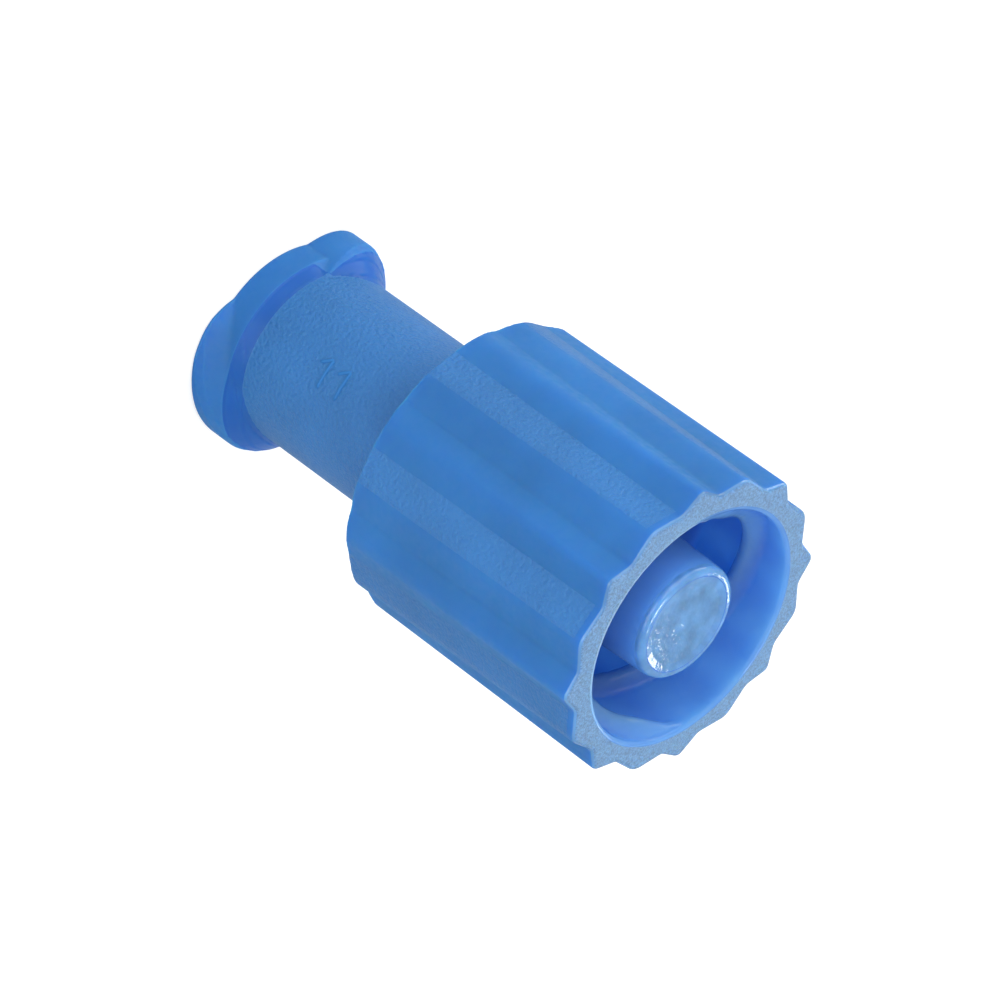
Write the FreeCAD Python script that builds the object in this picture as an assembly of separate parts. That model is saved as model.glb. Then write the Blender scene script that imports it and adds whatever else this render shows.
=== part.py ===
import FreeCAD, Part
import math
import os

# Combi stopper: one injection-moulded closing cone for luer-lock fittings.
# It closes a female fitting with the cone inside its threaded collar, and a
# male fitting with the blind socket and the two lugs at its other end.
# Millimetres. Z runs along the axis. The part stands on the rim of its
# socket at Z = 0, and the mouth of the collar is its highest face.
# Angles are in degrees about Z, and zero is on a tall grip rib.

# Whole part
overall_length = 18.75

# Collar outside, with tall and low grip ribs in turn
# Places are shares of one rib pair, and roundness is a share of the room for a round
collar_length = 9.97
rib_pairs = 8
first_valley_place = 0.229
low_rib_place = 0.511
second_valley_place = 0.784
tall_rib_radius = 5.2
tall_rib_roundness = 0.27
low_rib_radius = 5.08
low_rib_roundness = 0.32
first_valley_radius = 4.8
second_valley_radius = 4.8
valley_roundness = 0.38
rear_tall_rib_radius = 5.18
rear_tall_rib_roundness = 0.54
rear_low_rib_radius = 5.14
rear_low_rib_roundness = 0.46
rear_first_valley_radius = 5.03
rear_second_valley_radius = 4.99
rear_valley_roundness = 0.2
rib_depth_margin = 0.05
mouth_edge_round = 0.14
collar_rear_round = 0.32
collar_rear_round_clearance = 0.04

# Collar inside
thread_root_radius = 4.05
bore_depth = 8.3
bore_corner_round = 0.3
mouth_inner_round = 0.12

# Lock thread in the collar, two starts, right hand
thread_lead = 5.0
thread_starts = 2
thread_crest_radius = 3.5
thread_crest_width = 0.3
thread_flank_angle = 27.0
thread_first_depth = 0.05
thread_turn_angle = 440.0
thread_fade_angle = 40.0
thread_fade_steps = 5
thread_full_steps = 15
thread_mouth_angle = 328.0
thread_mouth_gap = 0.15
thread_root_sink = 0.12

# Closed male cone, 6 percent taper
luer_taper = 0.06
cone_tip_diameter = 3.93
cone_recess = 0.2
cone_edge_round = 0.2
cone_dish_radius = 1.66
cone_dish_floor_radius = 1.43
cone_dish_depth = 0.07
cone_foot_round = 0.35

# Hub between the collar and the socket's rim
hub_radius = 3.0
hub_collar_round = 0.4

# Blind female socket, 6 percent taper
socket_mouth_diameter = 4.3
socket_depth = 8.0
socket_edge_chamfer = 0.12
socket_bottom_round = 0.3

# Thick ring at the socket's rim, and the two lock lugs on it
rim_ring_radius = 3.25
rim_ring_height = 1.05
rim_ring_taper = 0.45
rim_edge_chamfer = 0.1
lug_count = 2
lug_radius = 3.875
lug_lead = 5.0
lug_crest_height = 1.0
lug_crest_angle = 86.0
lug_flank_height = 0.85
lug_start_angle = -40.0
lug_rise_angle = 62.0
lug_fall_angle = 49.0
lug_end_angle = 138.0
lug_nose = 0.15
lug_foot_blend = 0.14
lug_foot_rise = 0.4
lug_root_sink = 0.1
lug_depth_below_rim = 2.5
lug_steps = 14

# Share of its full depth that a thread or lug keeps inside the wall at its ends
end_stub = 0.04

# Narrow bevels that make up one rounded edge or corner
round_steps = 4

# How far the cutting tools reach past the faces they open
cut_over = 1.0

# Heights that follow from the sizes above
mouth_height = overall_length
collar_base = overall_length - collar_length
bore_floor = mouth_height - bore_depth
cone_tip_height = mouth_height - cone_recess
hub_top = bore_floor - 0.5 * (bore_floor - collar_base)


def at(radius, angle, height=0.0):
    """Point at a radius and an angle about Z."""
    turn = math.radians(angle)
    return FreeCAD.Vector(radius * math.cos(turn), radius * math.sin(turn), height)


def smooth_step(x):
    """Soft rise from 0 to 1."""
    x = min(1.0, max(0.0, x))
    return x * x * (3.0 - 2.0 * x)


def end_fade(x):
    """Soft rise of a thread or lug out of its wall, never quite flat."""
    return end_stub + (1.0 - end_stub) * smooth_step(x)


def revolved(points):
    """Solid of revolution about Z from a closed outline of (radius, height) points."""
    corners = [FreeCAD.Vector(radius, 0.0, height) for radius, height in points]
    face = Part.Face(Part.makePolygon(corners + corners[:1]))
    return face.revolve(FreeCAD.Vector(0, 0, 0), FreeCAD.Vector(0, 0, 1), 360.0)


def round_off(radius):
    """Steps of a quarter round: how far each lies in from the wall, and from the end face."""
    angles = [0.5 * math.pi * i / round_steps for i in range(round_steps + 1)]
    return [(radius * (1.0 - math.sin(angle)), radius * (1.0 - math.cos(angle))) for angle in angles]


# Grip ribs

def mouth_profile():
    """Place, extreme radius, roundness and side of the four arcs of a rib pair at the mouth."""
    return [(0.0, tall_rib_radius, tall_rib_roundness, 1),
            (first_valley_place, first_valley_radius, valley_roundness, -1),
            (low_rib_place, low_rib_radius, low_rib_roundness, 1),
            (second_valley_place, second_valley_radius, valley_roundness, -1)]


def rear_profile():
    """The same four arcs at the collar's rear."""
    return [(0.0, rear_tall_rib_radius, rear_tall_rib_roundness, 1),
            (first_valley_place, rear_first_valley_radius, rear_valley_roundness, -1),
            (low_rib_place, rear_low_rib_radius, rear_low_rib_roundness, 1),
            (second_valley_place, rear_second_valley_radius, rear_valley_roundness, -1)]


def room_for_rounds(first, second):
    """Sum of the arc radii at which a crest and the valley next to it would just meet."""
    apart = (second[0] - first[0]) % 1.0
    width = 0.5 * (first[1] + second[1]) * apart * 2.0 * math.pi / rib_pairs
    depth = abs(first[1] - second[1]) + rib_depth_margin
    return (width ** 2 + depth ** 2) / (2.0 * depth)


def rib_arcs(profile, inset):
    """Centre, radius and side of each arc round the collar, set in from the wall by an amount."""
    pitch = 360.0 / rib_pairs
    noses = []
    for i, arc in enumerate(profile):
        before = room_for_rounds(profile[i - 1], arc)
        after = room_for_rounds(arc, profile[(i + 1) % len(profile)])
        noses.append(arc[2] * min(before, after))
    arcs = []
    for pair in range(rib_pairs):
        for (place, radius, roundness, side), nose in zip(profile, noses):
            centre = at(radius - side * nose, (pair + place) * pitch)
            arcs.append((centre, nose - side * inset, side))
    return arcs


def crossing_tangent(first, second):
    """Ends of the line that touches two arcs on opposite sides, going round the collar."""
    a, a_radius, a_side = first
    b, b_radius, b_side = second
    span = b - a
    along = FreeCAD.Vector(span).normalize()
    across = FreeCAD.Vector(-along.y, along.x, 0)
    sine = (a_radius + b_radius) / span.Length
    cosine = math.sqrt(1.0 - sine * sine)
    normal = along * sine - across * (cosine * a_side)
    return a + normal * a_radius, b - normal * b_radius


def rib_outline(profile, inset, height):
    """Edges of the closed wave of tangent arcs and lines round the collar at one height."""
    arcs = rib_arcs(profile, inset)
    count = len(arcs)
    lines = [crossing_tangent(arcs[i], arcs[(i + 1) % count]) for i in range(count)]
    level = FreeCAD.Vector(0, 0, height)
    edges = []
    for i in range(count):
        centre, radius, side = arcs[i]
        before, start, end = lines[i - 1][1], lines[i][0], lines[i][1]
        middle = centre + ((before - centre) + (start - centre)).normalize() * radius
        edges.append(Part.Arc(before + level, middle + level, start + level).toShape())
        edges.append(Part.LineSegment(start + level, end + level).toShape())
    return edges


def rounded_blank():
    """Drum a little wider than the ribs. Its round rear edge ends the ribs and their grooves."""
    radius = max(tall_rib_radius, rear_tall_rib_radius) + collar_rear_round_clearance
    outline = [(0, collar_base)]
    outline += [(radius - inset, collar_base + rise) for inset, rise in round_off(collar_rear_round)]
    outline += [(radius, mouth_height + cut_over), (0, mouth_height + cut_over)]
    return revolved(outline)


def ribbed_collar():
    """Solid drum. Its grooves get shallower towards the rear, where it is nearly round."""
    levels = [rib_outline(rear_profile(), 0.0, collar_base)]
    for inset, rise in reversed(round_off(mouth_edge_round)):
        levels.append(rib_outline(mouth_profile(), inset, mouth_height - rise))
    skin = [Part.Face(Part.Wire(levels[0])), Part.Face(Part.Wire(levels[-1]))]
    for lower, upper in zip(levels, levels[1:]):
        skin += [Part.makeRuledSurface(a, b) for a, b in zip(lower, upper)]
    shell = Part.makeShell(skin)
    shell.sewShape()
    drum = Part.makeSolid(shell)
    if drum.Volume < 0:
        drum.reverse()
    return drum.common(rounded_blank())


# Cone and bore of the collar

def cone_radius(height):
    """Radius of the male cone's wall at a height."""
    return 0.5 * cone_tip_diameter + 0.5 * luer_taper * (cone_tip_height - height)


def collar_bore():
    """Space inside the collar, with the closed cone left standing in it."""
    foot = cone_radius(bore_floor)
    tip = cone_radius(cone_tip_height)
    dish_floor = cone_tip_height - cone_dish_depth
    outline = [(0, dish_floor), (cone_dish_floor_radius, dish_floor), (cone_dish_radius, cone_tip_height)]
    outline += [(tip - inset, cone_tip_height - rise) for inset, rise in round_off(cone_edge_round)]
    outline += [(foot + inset, bore_floor + rise) for inset, rise in reversed(round_off(cone_foot_round))]
    for inset, rise in round_off(bore_corner_round):
        outline.append((thread_root_radius - inset, bore_floor + rise))
    for inset, rise in reversed(round_off(mouth_inner_round)):
        outline.append((thread_root_radius + inset, mouth_height - rise))
    top = mouth_height + cut_over
    outline += [(thread_root_radius + mouth_inner_round, top), (0, top)]
    return revolved(outline)


# Thread and lugs are lofts through radial sections

def radial_section(points, angle):
    """Closed polygon of (radius, height) points standing in the half plane at an angle."""
    corners = [at(radius, angle, height) for radius, height in points]
    return Part.makePolygon(corners + corners[:1])


def thread_ridge(start_angle):
    """One start of the lock thread, from its fade at the mouth down into the bore."""
    fade_in = [thread_fade_angle * i / thread_fade_steps for i in range(thread_fade_steps)]
    full_turn = thread_turn_angle - 2.0 * thread_fade_angle
    full = [thread_fade_angle + full_turn * i / thread_full_steps for i in range(thread_full_steps + 1)]
    fade_out = [thread_turn_angle - turned for turned in reversed(fade_in)]
    half = 0.5 * thread_crest_width
    reach = thread_root_radius + thread_root_sink
    flank = math.tan(math.radians(thread_flank_angle))
    sections = []
    for turned in fade_in + full + fade_out:
        left = min(turned, thread_turn_angle - turned)
        crest = reach - (reach - thread_crest_radius) * end_fade(left / thread_fade_angle)
        height = mouth_height - thread_first_depth - thread_lead * turned / 360.0
        foot = half + flank * (reach - crest)
        points = [(reach, height - foot), (crest, height - half)]
        points += [(crest, height + half), (reach, height + foot)]
        sections.append(radial_section(points, start_angle - turned))
    ridge = Part.makeLoft(sections, True, False)
    clip = Part.makeCylinder(2.0 * reach, mouth_height - thread_mouth_gap)
    return ridge.common(clip)


def lug_section(angle, centre_angle):
    """Section of a lug at an angle measured from the lug's own zero."""
    into_start = (angle - lug_start_angle) / lug_rise_angle
    from_end = (lug_end_angle - angle) / lug_fall_angle
    share = end_fade(min(into_start, from_end))
    sink = hub_radius - lug_root_sink
    depth = (lug_radius - sink) * share
    crest = sink + depth
    edge = lug_crest_height + lug_lead * (angle - lug_crest_angle) / 360.0
    blend = (sink + (lug_root_sink + lug_foot_blend) * share, edge + lug_flank_height * share)
    foot = (sink, blend[1] + lug_foot_rise * share)
    slope = FreeCAD.Vector(blend[0] - crest, 0, blend[1] - edge).normalize()
    nose = lug_nose * share
    above = (crest + slope.x * nose, edge + slope.z * nose)
    below = -lug_depth_below_rim
    points = [(sink, below), (crest, below), (crest, edge - nose), above, blend, foot]
    return radial_section(points, centre_angle + angle)


def bevelled_foot():
    """Space above the rim, with the bevel that the lugs have at their edge."""
    wide = 2.0 * lug_radius
    outline = [(0, 0), (lug_radius - rim_edge_chamfer, 0), (wide, wide - lug_radius + rim_edge_chamfer)]
    return revolved(outline + [(wide, overall_length), (0, overall_length)])


def lug(zero_angle):
    """Helical lug that climbs out of the rim and falls back into the hub."""
    step = (lug_end_angle - lug_start_angle) / lug_steps
    sections = [lug_section(lug_start_angle + step * i, zero_angle) for i in range(lug_steps + 1)]
    body = Part.makeLoft(sections, True, False)
    return body.common(bevelled_foot())


# Hub with the ring at its free end, and the blind socket

def hub():
    outline = [(0, 0), (rim_ring_radius - rim_edge_chamfer, 0), (rim_ring_radius, rim_edge_chamfer)]
    outline += [(rim_ring_radius, rim_ring_height), (hub_radius, rim_ring_height + rim_ring_taper)]
    for inset, rise in reversed(round_off(hub_collar_round)):
        outline.append((hub_radius + inset, collar_base - rise))
    outline += [(hub_radius + hub_collar_round, hub_top), (0, hub_top)]
    return revolved(outline)


def socket():
    """Space of the blind 6 percent socket."""
    mouth = 0.5 * socket_mouth_diameter
    bottom = mouth - 0.5 * luer_taper * socket_depth
    flare = mouth + socket_edge_chamfer
    outline = [(0, -cut_over), (flare, -cut_over), (flare, 0), (mouth, socket_edge_chamfer)]
    for inset, rise in reversed(round_off(socket_bottom_round)):
        outline.append((bottom - inset, socket_depth - rise))
    outline.append((0, socket_depth))
    return revolved(outline)


def lugged_hub():
    """Hub with its lugs."""
    body = hub()
    for i in range(lug_count):
        body = body.fuse(lug(360.0 * i / lug_count))
    return body


def stopper():
    body = ribbed_collar().fuse(lugged_hub()).cut(collar_bore())
    for i in range(thread_starts):
        body = body.fuse(thread_ridge(thread_mouth_angle + 360.0 * i / thread_starts))
    return body.cut(socket())


os.makedirs("parts", exist_ok=True)
part = stopper().Solids[0]
print("stopper valid", part.isValid(), "volume mm3", round(part.Volume, 2))
part.exportStep("parts/stopper.step")
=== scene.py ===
import cmath
import math

import bmesh
import bpy
import numpy as np
from mathutils import Matrix, Vector


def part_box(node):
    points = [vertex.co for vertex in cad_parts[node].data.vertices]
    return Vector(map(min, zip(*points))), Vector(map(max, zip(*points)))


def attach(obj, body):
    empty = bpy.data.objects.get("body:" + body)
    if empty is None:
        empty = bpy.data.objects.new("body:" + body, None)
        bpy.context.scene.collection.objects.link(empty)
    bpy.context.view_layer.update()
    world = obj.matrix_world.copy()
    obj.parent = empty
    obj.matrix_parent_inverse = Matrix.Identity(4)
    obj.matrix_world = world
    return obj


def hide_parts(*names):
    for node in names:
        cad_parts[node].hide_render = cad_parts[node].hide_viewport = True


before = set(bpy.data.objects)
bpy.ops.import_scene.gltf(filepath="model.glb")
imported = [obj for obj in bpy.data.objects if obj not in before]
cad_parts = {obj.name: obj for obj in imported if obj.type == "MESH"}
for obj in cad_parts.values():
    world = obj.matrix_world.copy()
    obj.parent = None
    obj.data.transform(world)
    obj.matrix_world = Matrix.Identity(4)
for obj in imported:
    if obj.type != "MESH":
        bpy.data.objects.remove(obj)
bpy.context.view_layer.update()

bl_info = {
    "name": "Combi Stopper",
    "version": (1, 0, 0),
    "blender": (4, 5, 0),
    "location": "3D View > Sidebar > Stopper",
    "description": "Finished surface, cavity number and studio for a moulded luer-lock combi stopper",
    "category": "Object",
}

# The stopper stands on the rim of its socket at Z = 0, with the collar's mouth on top.
# Angles are in degrees about Z and start at a tall grip rib. Sizes are in millimetres.
MM = 0.001
NODE = "stopper"
BODY = "root"
FOOT, MOUTH = (corner.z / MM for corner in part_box(NODE))

# Collar outside, as in the part
COLLAR_BASE = MOUTH - 9.97
RIB_PAIRS = 8
# Place in the rib pair, extreme radius, roundness, and 1 for a crest or -1 for a valley
MOUTH_WAVE = ((0.0, 5.2, 0.27, 1), (0.229, 4.8, 0.38, -1), (0.511, 5.08, 0.32, 1), (0.784, 4.8, 0.38, -1))
REAR_WAVE = ((0.0, 5.18, 0.54, 1), (0.229, 5.03, 0.2, -1), (0.511, 5.14, 0.46, 1), (0.784, 4.99, 0.2, -1))
RIB_DEPTH_MARGIN = 0.05
ARC_POINTS = (9, 5, 9, 5)
FLANK_POINTS = (4, 9, 9, 4)
# Columns of a rib pair between the middle of the first valley and the middle of the low crest
GRAINED_FLANK = range(15, 31)
# Heights of the rib rows, as shares of the way from the rear edge to the mouth's edge
RIB_ROW_SHARES = (0.08, 0.25, 0.45, 0.65, 0.85, 0.98)
MOUTH_EDGE_ROUND = 0.14
REAR_ROUND = 0.32
REAR_ROUND_STEPS = 8
REAR_BLANK_RADIUS = 5.24
BEVEL_STEPS = 5
# Narrow rows beside a rounded edge keep its shading off the flat next to it
HOLD = 0.03

# Collar inside
BORE_RADIUS = 4.05
BORE_FLOOR = MOUTH - 8.3
BORE_CORNER_ROUND = 0.3
MOUTH_INNER_ROUND = 0.12
BORE_ROWS = 92
THREAD_LEAD = 5.0
THREAD_MOUTH_ANGLES = (328.0, 148.0)
THREAD_TURN = 440.0
THREAD_FADE = 40.0
THREAD_FIRST_DEPTH = 0.05
THREAD_GAP = 0.15
THREAD_CREST_RADIUS = 3.5
THREAD_HALF_CREST = 0.15
THREAD_FLANK = math.tan(math.radians(27.0))
THREAD_REACH = 4.17

# Closed male cone
CONE_TIP = MOUTH - 0.2
CONE_TIP_RADIUS = 1.965
LUER_SLOPE = 0.03
CONE_EDGE_ROUND = 0.2
CONE_FOOT_ROUND = 0.35
DISH_RADIUS = 1.66
DISH_FLOOR_RADIUS = 1.43
DISH_DEPTH = 0.07
DISH_SINK = 0.04
# Row of the tip that ends the dish's sloped step
DISH_STEP = 7

# Radii of the rings that close the flat discs in the cone's tip and the socket's bottom
DISC_INNERMOST = 0.15
DISC_OUTERMOST = 1.2
DISH_RINGS = (DISC_OUTERMOST, 0.8, 0.4, DISC_INNERMOST)

# Hub, socket and rim
HUB_RADIUS = 3.0
HUB_ROW_HEIGHTS = (5.0, 7.0)
HUB_COLLAR_ROUND = 0.4
SOCKET_MOUTH_RADIUS = 2.15
SOCKET_DEPTH = 8.0
SOCKET_EDGE = 0.12
SOCKET_BOTTOM_ROUND = 0.3
RING_RADIUS = 3.25
RING_HEIGHT = 1.05
RING_TAPER = 0.45
RIM_EDGE = 0.1
RIM_STEPS = 4
FOOT_TOP = 3.3
FOOT_ROWS = 38
ROW_GAP = 0.004
# Heights at which a foot column is looked through for the lug's upper end
FOOT_SAMPLES = 600
# A lug counts in full once it stands this far out of the hub
LUG_IN_VIEW = 0.1

# The two lock lugs
LUG_COUNT = 2
LUG_RADIUS = 3.875
LUG_ROOT_RADIUS = 2.9
LUG_START = -40.0
LUG_RISE = 62.0
LUG_FALL = 49.0
LUG_END = 138.0
LUG_LEAD = 5.0
LUG_CREST_HEIGHT = 1.0
LUG_CREST_ANGLE = 86.0
LUG_FLANK_HEIGHT = 0.85
LUG_FOOT_DEPTH = 0.24
LUG_FOOT_RISE = 0.4
LUG_NOSE = 0.15
END_STUB = 0.04


# Sizes and colours to set in the sidebar

def linear(colour):
    """Linear RGB of an sRGB hex colour."""
    parts = [int(colour[i:i + 2], 16) / 255.0 for i in (1, 3, 5)]
    return tuple(p / 12.92 if p <= 0.04045 else ((p + 0.055) / 1.055) ** 2.4 for p in parts)


def colour_property(name, description, colour):
    """Colour field of a settings group."""
    return bpy.props.FloatVectorProperty(
        name=name, description=description, subtype="COLOR", size=3, min=0.0, max=1.0,
        default=linear(colour))


class StopperFinish(bpy.types.PropertyGroup):
    """Colours and surface of the moulded plastic; several colours paint light or shade."""
    plastic: colour_property("Plastic", "Colour of the plastic on the satin and grained faces", "#2C76BA")
    # Lighter than the plastic: painted light in the deep bore and socket
    core: colour_property("Core faces", "Colour that the clear deep bore and socket show", "#517FBD")
    # Darker than the plastic: painted shade on the lugs' backs and the tip's step
    lock: colour_property("Lock faces", "Colour of the lugs' backs and of the tip's step", "#2365B5")
    # Pale colour of the mouth's face: painted sheen
    parting: colour_property("Parting face", "Colour of the dry pale face at the mouth", "#5C87B0")
    # Lighter blue of the mouth's edge: painted highlight
    edge: colour_property("Parting edge", "Colour of the bead round the mouth", "#5E92C3")
    # Pale streaky colour of the cone's tip: painted reflection
    tip: colour_property("Cone tip", "Colour of the disc in the tip of the cone", "#5A8CBC")
    grain_size: bpy.props.FloatProperty(
        name="Grain size", description="Width of one pit of the eroded mould face",
        default=0.13 * MM, min=0.0, unit="LENGTH", precision=5)
    grain_depth: bpy.props.FloatProperty(
        name="Grain depth", description="Depth of the eroded mould face",
        default=0.075 * MM, min=0.0, unit="LENGTH", precision=5)


class StopperNumber(bpy.types.PropertyGroup):
    """Raised cavity number on the hub."""
    height: bpy.props.FloatProperty(
        name="Digit height", description="Height of a digit, round the hub",
        default=1.05 * MM, min=0.0, unit="LENGTH", precision=5)
    width: bpy.props.FloatProperty(
        name="Stroke width", description="Width of a digit's stroke",
        default=0.13 * MM, min=0.0, unit="LENGTH", precision=5)
    relief: bpy.props.FloatProperty(
        name="Relief", description="How far the digits stand out of the hub",
        default=0.05 * MM, min=0.0, unit="LENGTH", precision=5)
    pitch: bpy.props.FloatProperty(
        name="Pitch", description="Distance from one digit to the next, along the hub",
        default=0.8 * MM, min=0.0, unit="LENGTH", precision=5)


class StopperStudio(bpy.types.PropertyGroup):
    """Floor, light and camera."""
    floor_side: bpy.props.FloatProperty(
        name="Floor side", description="Side of the square floor",
        default=3.0, min=0.1, unit="LENGTH")
    key_power: bpy.props.FloatProperty(
        name="Key light", description="Power of the large soft light",
        default=1.2, min=0.0, unit="POWER")
    top_power: bpy.props.FloatProperty(
        name="Top light", description="Power of the soft light over the mouth",
        default=0.7, min=0.0, unit="POWER")
    front_power: bpy.props.FloatProperty(
        name="Front light", description="Power of the soft light beside the camera",
        default=1.0, min=0.0, unit="POWER")
    back_power: bpy.props.FloatProperty(
        name="Back light", description="Power of the soft light that the mouth's face mirrors",
        default=0.13, min=0.0, unit="POWER")
    side_power: bpy.props.FloatProperty(
        name="Side light", description="Power of the low light that gives the ribs their sheen",
        default=1.0, min=0.0, unit="POWER")
    world_level: bpy.props.FloatProperty(
        name="Room level", description="Brightness of the pale room",
        default=0.64, min=0.0, subtype="FACTOR")


# Node helpers

def add_node(tree, kind, inputs=None, **settings):
    """Adds a node, with its settings, and its inputs set to values or linked to outputs."""
    node = tree.nodes.new(kind)
    for name, value in settings.items():
        setattr(node, name, value)
    for name, value in (inputs or {}).items():
        if isinstance(value, bpy.types.NodeSocket):
            tree.links.new(value, node.inputs[name])
        else:
            node.inputs[name].default_value = value
    return node


def new_tree(data):
    """Empty node tree of a material or world."""
    data.use_nodes = True
    data.node_tree.nodes.clear()
    return data.node_tree


# Plastic: injection-moulded polypropylene, dyed blue

POLYPROPYLENE_IOR = 1.49
# How far red, green and blue light travels in the plastic, in millimetres
THROUGH_WALLS = (0.2, 0.5, 1.1)
THROUGH_CORE = (2.5, 3.5, 5.0)
NEAR_SURFACE = (0.05, 0.1, 0.2)
# Share of the noise's range that the patterns use, and how much it moves the roughness
NOISE_LOW = 0.3
NOISE_HIGH = 0.7
ROUGHNESS_SWING = 0.15


def moulded_polypropylene(name, colour, roughness, gloss_level, grain_size, grain_depth, grain_detail=2.0,
                          spread=0.08, cloud_size=2.6 * MM, light_reach=THROUGH_WALLS, depth_of_light=1.0):
    """Dyed polypropylene with the finish that one face of the mould gives it; on some faces the colour
    paints light or shade.
    """
    material = bpy.data.materials.new(name)
    tree = new_tree(material)
    place = add_node(tree, "ShaderNodeTexCoord").outputs["Object"]
    # Flow of the dye, a few millimetres wide and barely seen; made fine and strong, the same pattern is
    # painted sparkle on the mouth's face and painted reflection streaks on the cone's tip
    clouds = add_node(tree, "ShaderNodeTexNoise", {
        "Vector": place, "Scale": 1.0 / cloud_size, "Detail": 2.0})
    share = add_node(tree, "ShaderNodeMapRange", {
        "Value": clouds.outputs["Fac"], "From Min": NOISE_LOW, "From Max": NOISE_HIGH})
    shades = add_node(tree, "ShaderNodeMix", {"Factor": share.outputs["Result"]}, data_type="RGBA")
    shades.inputs[6].default_value = (*(c * (1.0 - spread) for c in colour), 1.0)
    shades.inputs[7].default_value = (*(c * (1.0 + spread) for c in colour), 1.0)
    grain = add_node(tree, "ShaderNodeTexNoise", {
        "Vector": place, "Scale": 1.0 / grain_size, "Detail": grain_detail, "Roughness": 0.5})
    bump = add_node(tree, "ShaderNodeBump", {
        "Height": grain.outputs["Fac"], "Strength": 1.0, "Distance": grain_depth})
    gloss = add_node(tree, "ShaderNodeMapRange", {
        "Value": grain.outputs["Fac"], "From Min": NOISE_LOW, "From Max": NOISE_HIGH,
        "To Min": roughness * (1.0 - ROUGHNESS_SWING), "To Max": roughness * (1.0 + ROUGHNESS_SWING)})
    shader = add_node(tree, "ShaderNodeBsdfPrincipled", {
        "Base Color": shades.outputs[2], "Roughness": gloss.outputs["Result"],
        "Normal": bump.outputs["Normal"], "IOR": POLYPROPYLENE_IOR, "Specular IOR Level": gloss_level,
        "Subsurface Weight": depth_of_light, "Subsurface Radius": light_reach, "Subsurface Scale": MM})
    add_node(tree, "ShaderNodeOutputMaterial", {"Surface": shader.outputs["BSDF"]})
    return material


def plastic_finishes():
    """One material for each finish of the mould, in the order of the zones; several carry painted light or
    shade in their colour.
    """
    finish = bpy.context.scene.stopper_finish
    return [
        # Satin: lapped steel gives broad soft highlights on the ribs and the lugs
        moulded_polypropylene(
            "polypropylene_satin_mould_face", finish.plastic, roughness=0.6, gloss_level=0.38,
            grain_size=0.25 * MM, grain_depth=0.0015 * MM),
        # Grain: spark-eroded steel gives worm-like pits with a broken sheen
        moulded_polypropylene(
            "polypropylene_spark_eroded_mould_face", finish.plastic, roughness=0.5, gloss_level=0.6,
            grain_size=finish.grain_size, grain_depth=finish.grain_depth, grain_detail=3.0,
            depth_of_light=0.3),
        # Gloss: polished core pins leave faces that catch sharp glints, and light travels far in the
        # plastic round them; their lighter blue is painted light, making up for the light that the deep
        # bore and socket lack
        moulded_polypropylene(
            "polypropylene_polished_core_face_painted_light", finish.core, roughness=0.12, gloss_level=0.16,
            grain_size=0.5 * MM, grain_depth=0.004 * MM, light_reach=THROUGH_CORE),
        # Parting face: the mould halves meet here and leave a rough grained face; its pale colour is
        # painted sheen, and its fine speckle of light and dark is painted sparkle
        moulded_polypropylene(
            "polypropylene_parting_face_painted_sheen", finish.parting, roughness=0.42, gloss_level=0.5,
            grain_size=0.08 * MM, grain_depth=0.02 * MM, grain_detail=3.0,
            spread=0.34, cloud_size=0.06 * MM, light_reach=NEAR_SURFACE),
        # Tip: the face of the ejector that pushed on the cone leaves slow ripples; the disc's pale colour
        # and its light streaks are painted reflection
        moulded_polypropylene(
            "polypropylene_tip_painted_reflection", finish.tip, roughness=0.14, gloss_level=0.5,
            grain_size=0.3 * MM, grain_depth=0.02 * MM, spread=0.2, cloud_size=0.7 * MM),
        # Lock faces: polished steel leaves the lugs' backs and the tip's step smooth; their darker blue is
        # painted shade, on the lugs' backs under the collar and as a dark ring on the tip's step
        moulded_polypropylene(
            "polypropylene_lock_face_painted_shade", finish.lock, roughness=0.35, gloss_level=0.2,
            grain_size=0.5 * MM, grain_depth=0.002 * MM),
        # Edge bead: the lighter blue on the middle of the mouth's rounded edge is a painted highlight, a
        # thin bright line; its low roughness catches glints as well
        moulded_polypropylene(
            "polypropylene_edge_painted_highlight", finish.edge, roughness=0.18, gloss_level=0.6,
            grain_size=0.12 * MM, grain_depth=0.012 * MM, spread=0.25, light_reach=NEAR_SURFACE),
    ]


def number_finish():
    """Satin plastic of a number cut into the steel by hand, too thin to carry light inside."""
    return moulded_polypropylene(
        "polypropylene_engraved_number", bpy.context.scene.stopper_finish.plastic,
        roughness=0.5, gloss_level=0.3, grain_size=0.25 * MM, grain_depth=0.0015 * MM, depth_of_light=0.0)


# Zones of the skin, in the order of the finishes
SATIN, GRAIN, GLOSS, PARTING_SHEEN, TIP, LOCK_SHADE, EDGE = range(7)


# Shape of the stopper: rows of points round Z, from the socket's bottom to the cone's tip

def eased(x):
    """Soft rise from 0 to 1."""
    x = np.clip(x, 0.0, 1.0)
    return x * x * (3.0 - 2.0 * x)


def end_fade(x):
    """Soft rise of a thread or lug out of its wall."""
    return END_STUB + (1.0 - END_STUB) * eased(x)


def quarter_round(radius, steps=BEVEL_STEPS):
    """How far each row of a quarter round lies in from the wall, and from the end face."""
    angles = [0.5 * math.pi * i / steps for i in range(steps + 1)]
    return [(radius * (1.0 - math.sin(a)), radius * (1.0 - math.cos(a))) for a in angles]


def polar(radius, angle):
    """Point in the plane as a complex number."""
    return cmath.rect(radius, math.radians(angle))


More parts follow.
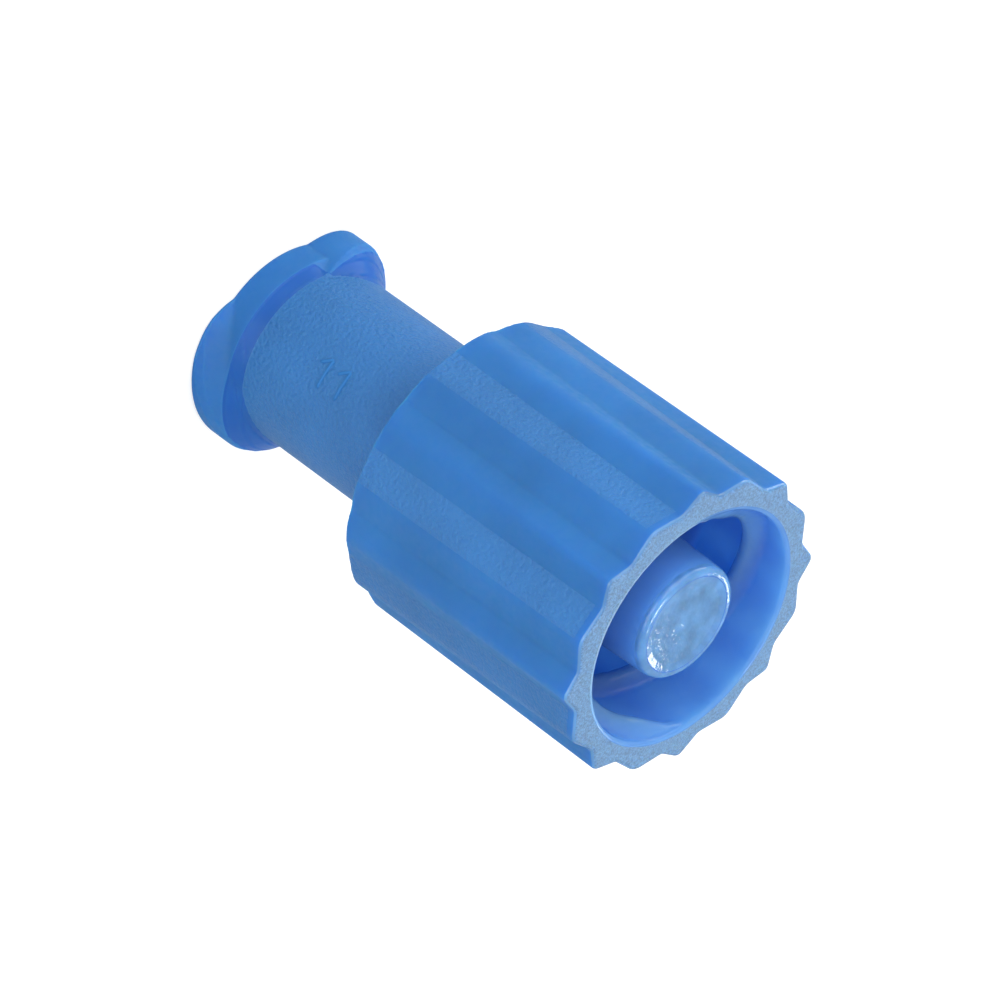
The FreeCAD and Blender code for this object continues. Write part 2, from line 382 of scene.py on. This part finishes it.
def rib_arcs(wave, inset):
    """Centre, radius and side of every arc round the collar, set in from the wall."""
    def room(first, second):
        apart = (second[0] - first[0]) % 1.0
        width = 0.5 * (first[1] + second[1]) * apart * 2.0 * math.pi / RIB_PAIRS
        depth = abs(first[1] - second[1]) + RIB_DEPTH_MARGIN
        return (width ** 2 + depth ** 2) / (2.0 * depth)

    arcs = []
    for pair in range(RIB_PAIRS):
        for i, (place, radius, roundness, side) in enumerate(wave):
            nose = roundness * min(room(wave[i - 1], wave[i]), room(wave[i], wave[(i + 1) % len(wave)]))
            centre = polar(radius - side * nose, (pair + place) * 360.0 / RIB_PAIRS)
            arcs.append((centre, nose - side * inset, side))
    return arcs


def crossing_tangent(first, second):
    """Ends of the line that touches two arcs on opposite sides."""
    a, a_radius, a_side = first
    b, b_radius, _ = second
    along = (b - a) / abs(b - a)
    sine = (a_radius + b_radius) / abs(b - a)
    normal = along * sine - 1j * along * math.sqrt(1.0 - sine * sine) * a_side
    return a + normal * a_radius, b - normal * b_radius


def rib_wave(wave, inset=0.0):
    """Points of the collar's wavy outline, the same number for every wave."""
    arcs = rib_arcs(wave, inset)
    lines = [crossing_tangent(arc, arcs[(i + 1) % len(arcs)]) for i, arc in enumerate(arcs)]
    points = []
    for i, (centre, _, _) in enumerate(arcs):
        before = lines[i - 1][1] - centre
        start, end = lines[i]
        turn = cmath.phase((start - centre) / before)
        steps = ARC_POINTS[i % 4] - 1
        points += [centre + before * cmath.exp(1j * turn * k / steps) for k in range(steps + 1)]
        spans = FLANK_POINTS[i % 4] + 1
        points += [start + (end - start) * k / spans for k in range(1, spans)]
    return np.array(points)


MOUTH_OUTLINE = rib_wave(MOUTH_WAVE)
COLUMN_ANGLES = np.angle(MOUTH_OUTLINE)
COLUMNS = len(MOUTH_OUTLINE)
SPOKES = np.exp(1j * COLUMN_ANGLES)


def row(outline, height):
    """Row of points from an outline of complex numbers, or from radii."""
    flat = outline if np.iscomplexobj(outline) else outline * SPOKES
    return np.stack([flat.real, flat.imag, np.broadcast_to(height, COLUMNS)], axis=1)


def softened(field, passes):
    """Surface with its edges eased over a few neighbouring rows."""
    for _ in range(passes):
        inner = 0.25 * field[:-2] + 0.5 * field[1:-1] + 0.25 * field[2:]
        field = np.concatenate([field[:1], inner, field[-1:]])
        field = 0.25 * np.roll(field, 1, axis=1) + 0.5 * field + 0.25 * np.roll(field, -1, axis=1)
    return field


def socket_rows():
    """Blind socket, from near its middle out to the rim."""
    bottom = SOCKET_MOUTH_RADIUS - LUER_SLOPE * SOCKET_DEPTH
    shape = [(DISC_INNERMOST, SOCKET_DEPTH), (DISC_OUTERMOST, SOCKET_DEPTH)]
    shape += [(bottom - inset, SOCKET_DEPTH - rise) for inset, rise in quarter_round(SOCKET_BOTTOM_ROUND)]
    shape += [(SOCKET_MOUTH_RADIUS - LUER_SLOPE * 2.0 * SOCKET_EDGE, 2.0 * SOCKET_EDGE)]
    shape += [(SOCKET_MOUTH_RADIUS + inset, rise) for inset, rise in reversed(quarter_round(SOCKET_EDGE))]
    return [row(np.full(COLUMNS, radius), height) for radius, height in shape]


def lug_section(angle):
    """Heights and radii at the corners of a lug's section, at an angle from the lug's own zero."""
    share = end_fade(min((angle - LUG_START) / LUG_RISE, (LUG_END - angle) / LUG_FALL))
    crest = LUG_ROOT_RADIUS + (LUG_RADIUS - LUG_ROOT_RADIUS) * share
    edge = LUG_CREST_HEIGHT + LUG_LEAD * (angle - LUG_CREST_ANGLE) / 360.0
    nose = LUG_NOSE * share
    blend = edge + LUG_FLANK_HEIGHT * share
    heights = np.array([edge - nose, edge + nose, blend, blend + LUG_FOOT_RISE * share])
    foot = LUG_ROOT_RADIUS + LUG_FOOT_DEPTH * share
    cut = crest + (foot - crest) * nose / (blend - edge)
    return heights, np.array([crest, cut, foot, LUG_ROOT_RADIUS])


def foot_column(degrees):
    """Heights and radii of ring, lug and hub over one point of the rim."""
    angle = (degrees - LUG_START) % (360.0 / LUG_COUNT) + LUG_START
    ring = np.array([RING_HEIGHT, RING_HEIGHT + RING_TAPER])
    marks, reach = lug_section(min(angle, LUG_END))

    def radius(heights):
        plain = np.interp(heights, ring, (RING_RADIUS, HUB_RADIUS))
        return np.maximum(plain, np.interp(heights, marks, reach)), plain

    # Every edge of the section gets a row of its own, and so does the lug's upper end
    fine = np.linspace(RIM_EDGE, FOOT_TOP, FOOT_SAMPLES)
    outer, plain = radius(fine)
    upper_end = fine[outer > plain].max(initial=RING_HEIGHT)
    visible = float(np.clip((reach[0] - HUB_RADIUS) / LUG_IN_VIEW, 0.0, 1.0))
    own = RING_HEIGHT + (np.append(marks, upper_end) - RING_HEIGHT) * visible
    even = np.linspace(RIM_EDGE, FOOT_TOP, FOOT_ROWS)
    heights = np.concatenate([even, ring, np.clip(own, RIM_EDGE, FOOT_TOP)])
    gaps = ROW_GAP * np.arange(len(heights))
    heights = np.maximum.accumulate(np.sort(heights) - gaps) + gaps
    return heights, radius(heights)[0], own[1:]


def foot_rows():
    """Rim face, ring and lugs, up to where the hub is plain."""
    columns = [foot_column(degrees) for degrees in np.degrees(COLUMN_ANGLES)]
    heights, field, own = (np.array(part).T for part in zip(*columns))
    field = softened(field, 1)
    rim = field[0]
    face = [rim - RIM_EDGE - HOLD, rim - RIM_EDGE]
    inner = np.full(COLUMNS, SOCKET_MOUTH_RADIUS + SOCKET_EDGE + HOLD)
    rows = [row(inner, FOOT)] + [row(radius, FOOT) for radius in face]
    rows += [row(rim - inset, FOOT + rise) for inset, rise in quarter_round(RIM_EDGE, RIM_STEPS)[1:-1]]
    # Each face lies between two rows and two columns, and so do the edges it is compared with
    middles = 0.25 * (heights[1:] + heights[:-1] + np.roll(heights[1:] + heights[:-1], -1, axis=1))
    back, _, _, upper_end = 0.5 * (own + np.roll(own, -1, axis=1))
    hub = middles > np.maximum(upper_end, RING_HEIGHT + RING_TAPER)
    # The lugs' backs take the lock colour, a darker blue of painted shade
    zones = np.where(hub, GRAIN, np.where(middles > np.maximum(back, RING_HEIGHT), LOCK_SHADE, SATIN))
    zones = np.concatenate([zones[:1], zones])
    return rows, [row(radius, height) for radius, height in zip(field, heights)], zones


def hub_rows():
    """Plain hub and its foot at the collar."""
    shape = [(HUB_RADIUS, height) for height in (*HUB_ROW_HEIGHTS, COLLAR_BASE - HUB_COLLAR_ROUND - HOLD)]
    foot = reversed(quarter_round(HUB_COLLAR_ROUND))
    shape += [(HUB_RADIUS + inset, COLLAR_BASE - rise) for inset, rise in foot]
    return [row(np.full(COLUMNS, radius), height) for radius, height in shape]


def rib_rows():
    """Rear face, rounded rear edge and ribs, up to the rounded edge at the mouth."""
    rear = rib_wave(REAR_WAVE)
    top = MOUTH - MOUTH_EDGE_ROUND

    def level(height):
        share = (height - COLLAR_BASE) / (top - COLLAR_BASE)
        return rear + (MOUTH_OUTLINE - rear) * share

    face = (HUB_RADIUS + HUB_COLLAR_ROUND + HOLD, REAR_BLANK_RADIUS - REAR_ROUND - HOLD)
    rows = [row(np.full(COLUMNS, radius), COLLAR_BASE) for radius in face]
    ribs = []
    for inset, rise in quarter_round(REAR_ROUND, REAR_ROUND_STEPS):
        outline = level(COLLAR_BASE + rise)
        limit = REAR_BLANK_RADIUS - inset
        ribs.append(row(outline * np.minimum(1.0, limit / abs(outline)), COLLAR_BASE + rise))
    for share in RIB_ROW_SHARES:
        height = COLLAR_BASE + REAR_ROUND + share * (top - COLLAR_BASE - REAR_ROUND)
        ribs.append(row(level(height), height))
    return rows, ribs


def all_rows():
    """Rows of points with the zone of the band that ends at each row."""
    rows, zones = [], []

    def take(new_rows, zone):
        rows.extend(new_rows)
        zones.extend([np.broadcast_to(zone, COLUMNS)] * len(new_rows))

    take(socket_rows(), GLOSS)
    rim, foot, foot_zones = foot_rows()
    take(rim, SATIN)
    for band, zone in zip(foot, foot_zones):
        take([band], zone)
    take(hub_rows(), GRAIN)
    rear, ribs = rib_rows()
    take(rear, SATIN)
    column = np.arange(COLUMNS) % (COLUMNS // RIB_PAIRS)
    take(ribs, np.where(np.isin(column, GRAINED_FLANK), GRAIN, SATIN))
    # The mouth's rounded edge: satin, then a band of painted highlight, then the face's painted sheen
    edge = list(reversed(quarter_round(MOUTH_EDGE_ROUND)))
    for (inset, rise), zone in zip(edge, (SATIN, SATIN, EDGE, EDGE, PARTING_SHEEN, PARTING_SHEEN)):
        take([row(rib_wave(MOUTH_WAVE, inset), MOUTH - rise)], zone)
    # The mouth's face, pale with painted sheen and speckled with painted sparkle
    face = rib_wave(MOUTH_WAVE, MOUTH_EDGE_ROUND + HOLD)
    lip = BORE_RADIUS + MOUTH_INNER_ROUND
    take([row(face, MOUTH), row(np.full(COLUMNS, lip + HOLD), MOUTH)], PARTING_SHEEN)
    inner = quarter_round(MOUTH_INNER_ROUND)
    take([row(np.full(COLUMNS, BORE_RADIUS + inset), MOUTH - rise) for inset, rise in inner], GLOSS)
    take(bore_rows(), GLOSS)
    take(cone_rows(), GLOSS)
    # The dish's step takes the lock colour, a painted dark ring of shade; the rest of the tip takes its
    # pale colour, painted reflection
    for i, band in enumerate(tip_rows()):
        take([band], LOCK_SHADE if i == DISH_STEP else TIP)
    return rows, zones


def thread_field(height):
    """Radius of the bore with its two thread starts at one height, for every column."""
    radius = np.full(COLUMNS, BORE_RADIUS)
    if height > MOUTH - THREAD_GAP:
        return radius
    degrees = np.degrees(COLUMN_ANGLES)
    for mouth_angle in THREAD_MOUTH_ANGLES:
        for turn in (0.0, 360.0):
            turned = (mouth_angle - degrees) % 360.0 + turn
            left = np.minimum(turned, THREAD_TURN - turned)
            depth = (THREAD_REACH - THREAD_CREST_RADIUS) * end_fade(left / THREAD_FADE)
            middle = MOUTH - THREAD_FIRST_DEPTH - THREAD_LEAD * turned / 360.0
            out = np.clip((abs(height - middle) - THREAD_HALF_CREST) / (THREAD_FLANK * depth), 0.0, 1.0)
            ridge = THREAD_REACH - depth * (1.0 - out)
            radius = np.where(turned < THREAD_TURN, np.minimum(radius, ridge), radius)
    return radius


def bore_rows():
    """Threaded wall of the bore and its rounded corner."""
    heights = np.linspace(MOUTH - MOUTH_INNER_ROUND - HOLD, BORE_FLOOR + BORE_CORNER_ROUND, BORE_ROWS)
    field = softened(np.array([thread_field(height) for height in heights]), 1)
    rows = [row(radius, height) for radius, height in zip(field, heights)]
    corner = list(reversed(quarter_round(BORE_CORNER_ROUND)))[1:]
    rows += [row(np.full(COLUMNS, BORE_RADIUS - inset), BORE_FLOOR + rise) for inset, rise in corner]
    return rows


def cone_radius(height):
    """Radius of the cone's wall at a height."""
    return CONE_TIP_RADIUS + LUER_SLOPE * (CONE_TIP - height)


def cone_rows():
    """Foot and wall of the closed cone."""
    foot = cone_radius(BORE_FLOOR)
    shape = [(foot + inset, BORE_FLOOR + rise) for inset, rise in quarter_round(CONE_FOOT_ROUND)]
    shape.append((cone_radius(CONE_TIP - CONE_EDGE_ROUND - HOLD), CONE_TIP - CONE_EDGE_ROUND - HOLD))
    return [row(np.full(COLUMNS, radius), height) for radius, height in shape]


def tip_rows():
    """Rounded edge of the tip and the shallow dish in it."""
    edge = reversed(quarter_round(CONE_EDGE_ROUND))
    shape = [(CONE_TIP_RADIUS - inset, CONE_TIP - rise) for inset, rise in edge]
    floor = CONE_TIP - DISH_DEPTH
    shape += [(DISH_RADIUS + HOLD, CONE_TIP), (DISH_RADIUS, CONE_TIP), (DISH_FLOOR_RADIUS, floor)]
    shape += [(DISH_FLOOR_RADIUS - HOLD, floor)]
    hollow = [DISH_SINK * (1.0 - (radius / DISH_FLOOR_RADIUS) ** 2) for radius in DISH_RINGS]
    shape += [(radius, floor - sink) for radius, sink in zip(DISH_RINGS, hollow)]
    return [row(np.full(COLUMNS, radius), height) for radius, height in shape]


def skin(name, rows, zones, start, end):
    """Closed mesh through the rows, with a point in the middle of the first and last row."""
    points = np.concatenate(rows + [np.array([start, end])]) * MM
    first, last = len(points) - 2, len(points) - 1
    faces, slots = [], []
    for j in range(COLUMNS):
        after = (j + 1) % COLUMNS
        faces.append((first, after, j))
        slots.append(zones[0][j])
        for i in range(1, len(rows)):
            low, high = (i - 1) * COLUMNS, i * COLUMNS
            faces.append((low + j, low + after, high + after, high + j))
            slots.append(zones[i][j])
        top = (len(rows) - 1) * COLUMNS
        faces.append((top + j, top + after, last))
        slots.append(zones[-1][j])
    mesh = bpy.data.meshes.new(name)
    mesh.from_pydata(points.tolist(), [], faces)
    mesh.polygons.foreach_set("material_index", slots)
    mesh.polygons.foreach_set("use_smooth", [True] * len(faces))
    mesh.update()
    return mesh


class STOPPER_OT_body(bpy.types.Operator):
    """Builds the stopper's moulded skin with a finish for each mould face"""
    bl_idname = "stopper.body"
    bl_label = "Moulded body"

    def execute(self, context):
        rows, zones = all_rows()
        tip = CONE_TIP - DISH_DEPTH - DISH_SINK
        mesh = skin("stopper_body", rows, zones, (0.0, 0.0, SOCKET_DEPTH), (0.0, 0.0, tip))
        body = bpy.data.objects.new("stopper_body", mesh)
        context.scene.collection.objects.link(body)
        for material in plastic_finishes():
            mesh.materials.append(material)
        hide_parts(NODE)
        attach(body, BODY)
        return {"FINISHED"}


# Raised cavity number: two plain ones that read from the rim towards the collar

NUMBER_TOP_ANGLE = 171.6
NUMBER_FIRST_HEIGHT = 4.4
NUMBER_DIGITS = 2
FLAG_WIDTH = 0.4
FLAG_DROP = 0.3
STROKE_SINK = 0.03
STROKE_ENDS = 0.08
STROKE_STATIONS = 15
# Width of a stroke at its very ends, as a share of its full width
STROKE_END_WIDTH = 0.55
# Cross-section of a stroke: share of its half width, and share of its relief
STROKE_SECTION = (
    (-1.0, 0.0), (-0.75, 0.55), (-0.35, 0.92), (0.0, 1.0), (0.35, 0.92), (0.75, 0.55), (1.0, 0.0))


def stroke(grid, start, end, width, relief):
    """Rounded ridge on the hub between two points of (distance round the hub, height)."""
    start, end = Vector(start), Vector(end)
    along = (end - start).normalized()
    across = Vector((-along.y, along.x))
    length = (end - start).length
    sections = []
    for k in range(STROKE_STATIONS):
        travel = length * k / (STROKE_STATIONS - 1)
        rise = float(eased(min(travel, length - travel) / STROKE_ENDS))
        half = 0.5 * width * (STROKE_END_WIDTH + (1.0 - STROKE_END_WIDTH) * rise)
        middle = start + along * travel
        loop = []
        for offset, lift in (*STROKE_SECTION, (1.0, None), (-1.0, None)):
            spot = middle + across * (half * offset)
            radius = HUB_RADIUS + (-STROKE_SINK if lift is None else relief * lift * rise)
            angle = spot.x / HUB_RADIUS
            point = (radius * math.cos(angle), radius * math.sin(angle), spot.y)
            loop.append(grid.verts.new([part * MM for part in point]))
        sections.append(loop)
    count = len(sections[0])
    for near, far in zip(sections, sections[1:]):
        for i in range(count):
            grid.faces.new((near[i], near[(i + 1) % count], far[(i + 1) % count], far[i]))
    grid.faces.new(reversed(sections[0]))
    grid.faces.new(sections[-1])


class STOPPER_OT_number(bpy.types.Operator):
    """Builds the raised cavity number on the hub"""
    bl_idname = "stopper.number"
    bl_label = "Cavity number"

    def execute(self, context):
        number = context.scene.stopper_number
        sizes = (number.height, number.pitch, number.width, number.relief)
        height, pitch, width, relief = (size / MM for size in sizes)
        grid = bmesh.new()
        for i in range(NUMBER_DIGITS):
            level = NUMBER_FIRST_HEIGHT + pitch * i
            top = math.radians(NUMBER_TOP_ANGLE) * HUB_RADIUS
            stroke(grid, (top, level), (top + height, level), width, relief)
            stroke(grid, (top, level), (top + FLAG_DROP, level - FLAG_WIDTH), width, relief)
        bmesh.ops.recalc_face_normals(grid, faces=grid.faces)
        for face in grid.faces:
            face.smooth = True
        mesh = bpy.data.meshes.new("cavity_number")
        grid.to_mesh(mesh)
        grid.free()
        mesh.materials.append(number_finish())
        piece = bpy.data.objects.new("cavity_number", mesh)
        context.scene.collection.objects.link(piece)
        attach(piece, BODY)
        return {"FINISHED"}


class STOPPER_OT_studio(bpy.types.Operator):
    """Makes the pale floor, the soft light and the camera"""
    bl_idname = "stopper.studio"
    bl_label = "Studio"

    def execute(self, context):
        make_floor(context.scene.stopper_studio)
        make_room(context.scene)
        make_lights(context.scene.stopper_studio)
        make_camera(context.scene)
        return {"FINISHED"}


# Studio

PAPER = "#BEBEBE"
# Light that the camera alone sees added to the paper, so that it comes out white round the shadow
PAPER_GLOW = 0.6
FLOOR_CELLS = 8
LAMP_DISTANCE = 0.5
WHITE = (1.0, 1.0, 1.0, 1.0)


def make_floor(studio):
    """Pale matt floor that keeps the stopper's soft shadow."""
    half = 0.5 * studio.floor_side
    grid = bmesh.new()
    bmesh.ops.create_grid(grid, x_segments=FLOOR_CELLS, y_segments=FLOOR_CELLS, size=half)
    mesh = bpy.data.meshes.new("studio_floor")
    grid.to_mesh(mesh)
    grid.free()
    floor = bpy.data.objects.new("studio_floor", mesh)
    bpy.context.scene.collection.objects.link(floor)
    material = bpy.data.materials.new("studio_matt_white_paper")
    tree = new_tree(material)
    paper = add_node(tree, "ShaderNodeBsdfDiffuse", {"Color": (*linear(PAPER), 1.0)})
    glow = add_node(tree, "ShaderNodeEmission", {"Color": WHITE, "Strength": PAPER_GLOW})
    both = add_node(tree, "ShaderNodeAddShader", {0: paper.outputs[0], 1: glow.outputs[0]})
    camera_ray = add_node(tree, "ShaderNodeLightPath").outputs["Is Camera Ray"]
    pick = add_node(tree, "ShaderNodeMixShader", {0: camera_ray, 1: paper.outputs[0], 2: both.outputs[0]})
    add_node(tree, "ShaderNodeOutputMaterial", {"Surface": pick.outputs[0]})
    mesh.materials.append(material)


def make_room(scene):
    """Even pale room light, with a white backdrop for the camera."""
    world = bpy.data.worlds.new("studio_room")
    tree = new_tree(world)
    level = scene.stopper_studio.world_level
    room = add_node(tree, "ShaderNodeBackground", {"Color": WHITE, "Strength": level})
    white = add_node(tree, "ShaderNodeBackground", {"Color": WHITE, "Strength": 1.0})
    camera_ray = add_node(tree, "ShaderNodeLightPath").outputs["Is Camera Ray"]
    pick = add_node(tree, "ShaderNodeMixShader", {0: camera_ray, 1: room.outputs[0], 2: white.outputs[0]})
    add_node(tree, "ShaderNodeOutputWorld", {"Surface": pick.outputs[0]})
    scene.world = world


def soft_light(name, azimuth, elevation, side, power):
    """Square area light that looks at the stopper from an azimuth and elevation."""
    data = bpy.data.lights.new(name, "AREA")
    data.shape = "SQUARE"
    data.size = side
    data.energy = power
    lamp = bpy.data.objects.new(name, data)
    bpy.context.scene.collection.objects.link(lamp)
    turn, lift = math.radians(azimuth), math.radians(elevation)
    away = Vector((math.cos(lift) * math.cos(turn), math.cos(lift) * math.sin(turn), math.sin(lift)))
    lamp.location = away * LAMP_DISTANCE + Vector((0.0, 0.0, 0.5 * MOUTH * MM))
    lamp.rotation_euler = away.to_track_quat("Z", "Y").to_euler()


def make_lights(studio):
    """Large key light, soft lights beside and over the part, and a small one that the mouth mirrors."""
    soft_light("studio_key", azimuth=128.0, elevation=42.0, side=0.45, power=studio.key_power)
    soft_light("studio_top", azimuth=348.0, elevation=64.0, side=0.11, power=studio.top_power)
    soft_light("studio_front", azimuth=203.0, elevation=30.0, side=0.4, power=studio.front_power)
    soft_light("studio_back", azimuth=4.5, elevation=27.5, side=0.06, power=studio.back_power)
    soft_light("studio_side", azimuth=80.0, elevation=8.0, side=0.3, power=studio.side_power)


# The camera looks down the stopper at a slant. Its picture has the axis running to the lower right.
AXIS_BELOW_LEVEL = 35.84
AXIS_TURN = 59.1
RIB_PHASE = 3.75
MOUTH_DISTANCE = 170.0
MOUTH_PIXEL = (691.5, 627.65)
PICTURE = 1000
FOCAL_PIXELS = 5644.0
SENSOR = 36.0
CLIP_START = 0.01
CLIP_END = 20.0


def make_camera(scene):
    """Long lens at the photograph's angle."""
    lean, turn, phase = (math.radians(a) for a in (AXIS_BELOW_LEVEL, AXIS_TURN, RIB_PHASE))
    half = 0.5 * PICTURE
    ray = Vector(((MOUTH_PIXEL[0] - half) / FOCAL_PIXELS, (half - MOUTH_PIXEL[1]) / FOCAL_PIXELS, -1.0))
    back = -ray.normalized()
    right = Vector((0.0, 1.0, 0.0)).cross(back).normalized()
    up = back.cross(right)
    down_axis = math.cos(lean) * right - math.sin(lean) * up
    across = math.sin(lean) * right + math.cos(lean) * up
    away = math.cos(turn) * down_axis - math.sin(turn) * back
    z_axis = math.sin(turn) * down_axis + math.cos(turn) * back
    x_axis = math.cos(phase) * away + math.sin(phase) * across
    y_axis = math.cos(phase) * across - math.sin(phase) * away
    to_world = Matrix((x_axis, y_axis, z_axis))
    place = Vector((0.0, 0.0, MOUTH)) - to_world @ (ray * MOUTH_DISTANCE)
    data = bpy.data.cameras.new("studio_camera")
    data.sensor_width = SENSOR
    data.lens = SENSOR * FOCAL_PIXELS / PICTURE
    data.clip_start = CLIP_START
    data.clip_end = CLIP_END
    camera = bpy.data.objects.new("studio_camera", data)
    scene.collection.objects.link(camera)
    camera.matrix_world = Matrix.Translation(place * MM) @ to_world.to_4x4()
    scene.camera = camera


class STOPPER_PT_panel(bpy.types.Panel):
    """Sizes, colours and steps of the stopper"""
    bl_idname = "STOPPER_PT_panel"
    bl_label = "Combi Stopper"
    bl_space_type = "VIEW_3D"
    bl_region_type = "UI"
    bl_category = "Stopper"

    def draw(self, context):
        scene = context.scene
        for settings in (scene.stopper_finish, scene.stopper_number, scene.stopper_studio):
            box = self.layout.box()
            for name in settings.__annotations__:
                box.prop(settings, name)
        for operator in STEPS:
            self.layout.operator(operator.bl_idname)


STEPS = (STOPPER_OT_body, STOPPER_OT_number, STOPPER_OT_studio)
GROUPS = {"stopper_finish": StopperFinish, "stopper_number": StopperNumber, "stopper_studio": StopperStudio}
CLASSES = (*GROUPS.values(), *STEPS, STOPPER_PT_panel)


def register():
    for item in CLASSES:
        bpy.utils.register_class(item)
    for name, group in GROUPS.items():
        setattr(bpy.types.Scene, name, bpy.props.PointerProperty(type=group))


def unregister():
    for name in GROUPS:
        delattr(bpy.types.Scene, name)
    for item in reversed(CLASSES):
        bpy.utils.unregister_class(item)


def main():
    register()
    bpy.ops.stopper.body()
    bpy.ops.stopper.number()
    bpy.ops.stopper.studio()
    bpy.context.scene.view_settings.view_transform = "Standard"


if __name__ == "__main__":
    main()
